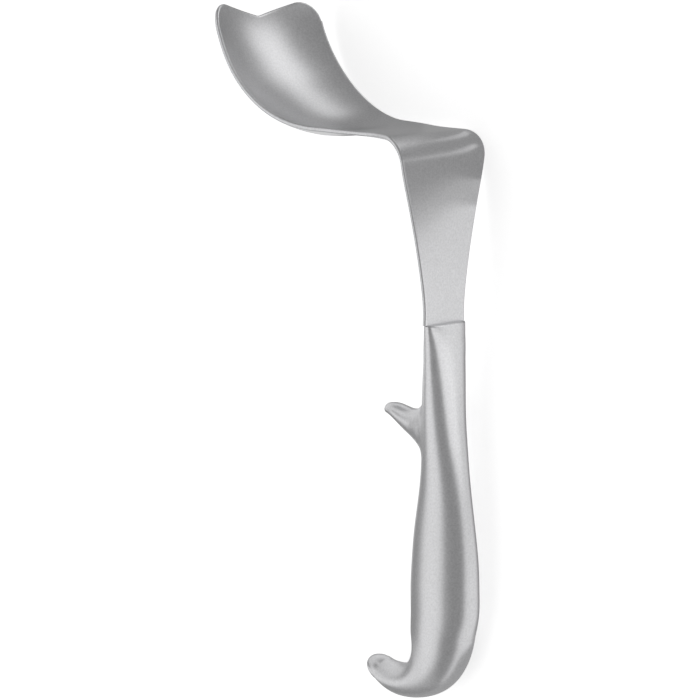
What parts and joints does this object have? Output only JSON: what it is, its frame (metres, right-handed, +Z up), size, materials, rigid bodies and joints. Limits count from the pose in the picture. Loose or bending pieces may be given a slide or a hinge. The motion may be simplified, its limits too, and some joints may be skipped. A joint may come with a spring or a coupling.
{
  "type": "handheld surgical retractor",
  "caption": "Handheld surgical retractor with a right-angled, spoon-shaped, notched sheet blade on a hollow handle with a finger rest and an end hook.",
  "frame": {"origin": "centre of the bounding box at table level, with the retractor lying on its right side", "axes": "+X along the handle towards the blade, +Y towards the side that the spoon, the finger rest and the hook point to, +Z up from the table"},
  "size_m": [0.227, 0.1006, 0.0517],
  "materials": {
    "blade_steel": "satin",
    "handle_steel": "satin"
  },
  "bodies": {
    "root": {"blade": "blade_steel", "handle_shell_left": "handle_steel", "handle_shell_right": "handle_steel"}
  },
  "joints": []
}
